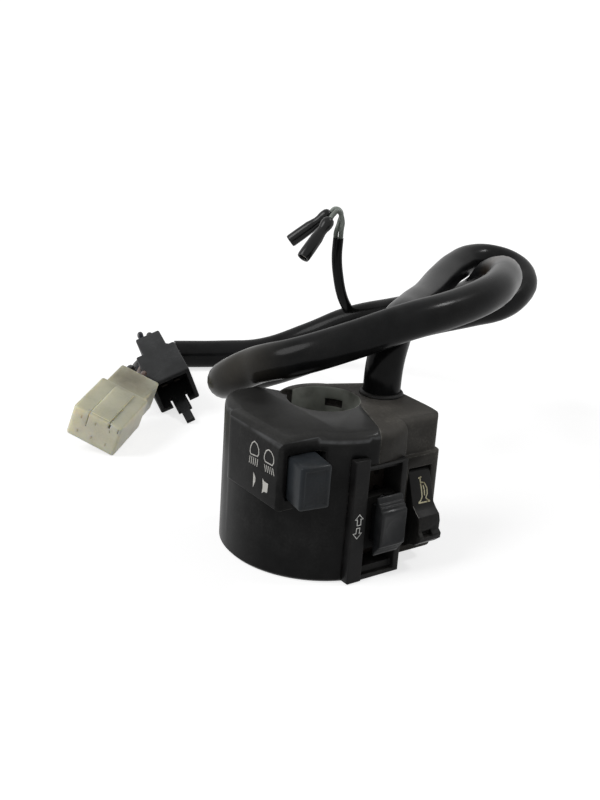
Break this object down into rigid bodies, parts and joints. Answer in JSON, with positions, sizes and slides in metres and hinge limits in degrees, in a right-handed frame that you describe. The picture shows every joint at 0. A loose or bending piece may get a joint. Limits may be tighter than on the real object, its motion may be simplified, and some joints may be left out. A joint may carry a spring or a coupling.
{
  "type": "handlebar switch cluster",
  "caption": "Split plastic switch housing that clamps on a handlebar, with a dimmer rocker, a sliding turn switch, a horn paddle and a sheathed wiring harness with plugs.",
  "frame": {"origin": "on the handlebar bore's axis, in the outboard end face that the cluster stands on", "axes": "+Z along the bar towards the middle of the bike, -Y towards the rider's thumb, -X towards the upper housing"},
  "size_m": [0.178, 0.202, 0.0787],
  "materials": {
    "upper_plastic": "satin moulded, lightly scuffed",
    "lower_plastic": "dusty satin",
    "button_plastic": "fine matt grain",
    "black_plastic": "satin",
    "insulator": "plain",
    "slider_nylon": "plain",
    "steel": "zinc plated",
    "brass": "plain",
    "rubber": "matt",
    "sheath_pvc": "glossy with dust",
    "wire_pvc": "satin",
    "white_nylon": "translucent, yellowed",
    "black_nylon": "satin"
  },
  "bodies": {
    "housing": {"upper_housing": "upper_plastic", "lower_housing": "lower_plastic", "housing_screws": "steel", "dimmer_pivot_pin": "steel", "dimmer_base": "insulator", "dimmer_fixed_contacts": "brass", "dimmer_screws": "steel", "turn_bezel": "black_plastic", "turn_contact_board": "insulator", "turn_fixed_contacts": "brass", "turn_screws": "steel", "horn_pivot_pin": "steel", "horn_base": "insulator", "horn_return_spring": "steel", "horn_fixed_contact": "brass", "horn_screws": "steel", "cable_grommet": "rubber", "cable_tie": "slider_nylon", "dimmer_wire": "wire_pvc", "turn_wire": "wire_pvc", "horn_wire": "wire_pvc", "harness_sheath": "sheath_pvc", "branch_sheath": "sheath_pvc", "branch_wires": "wire_pvc", "bullet_terminals": "brass", "bullet_sleeves": "rubber", "white_connector": "white_nylon", "white_terminals": "brass", "white_wires": "wire_pvc", "black_connector": "black_nylon", "black_terminals": "brass", "black_wires": "wire_pvc"},
    "dimmer": {"dimmer_knob": "button_plastic", "dimmer_rocker": "slider_nylon", "dimmer_moving_contact": "brass", "dimmer_detent_ball": "steel", "dimmer_detent_spring": "steel"},
    "turn_slide_carriage": {"turn_slider": "black_plastic", "turn_moving_contact": "brass", "turn_detent_ball": "steel", "turn_detent_spring": "steel", "turn_cancel_springs": "steel"},
    "turn_button": {"turn_knob": "button_plastic"},
    "horn": {"horn_paddle": "black_plastic", "horn_moving_contact": "brass"}
  },
  "joints": [
    {"name": "dimmer_rock", "type": "hinge", "parent": "housing", "child": "dimmer", "pos_m": [-0.0222, -0.0184, 0.0342], "axis": [0, 0, 1], "range_deg": [0, 18]},
    {"name": "turn_slide", "type": "slide", "parent": "housing", "child": "turn_slide_carriage", "axis": [0, 0, 1], "range_m": [-0.005, 0.005]},
    {"name": "turn_cancel", "type": "slide", "parent": "turn_slide_carriage", "child": "turn_button", "axis": [0, 1, 0], "range_m": [0, 0.0018], "stiffness_N_per_m": 600, "springref_m": -0.001, "deforming": ["turn_cancel_springs"]},
    {"name": "horn_press", "type": "hinge", "parent": "housing", "child": "horn", "pos_m": [0.0165, -0.0234, 0.0286], "axis": [1, 0, 0], "range_deg": [0, 6], "stiffness_Nm_per_rad": 0.3, "springref_deg": -5.73, "deforming": ["horn_return_spring"]}
  ]
}
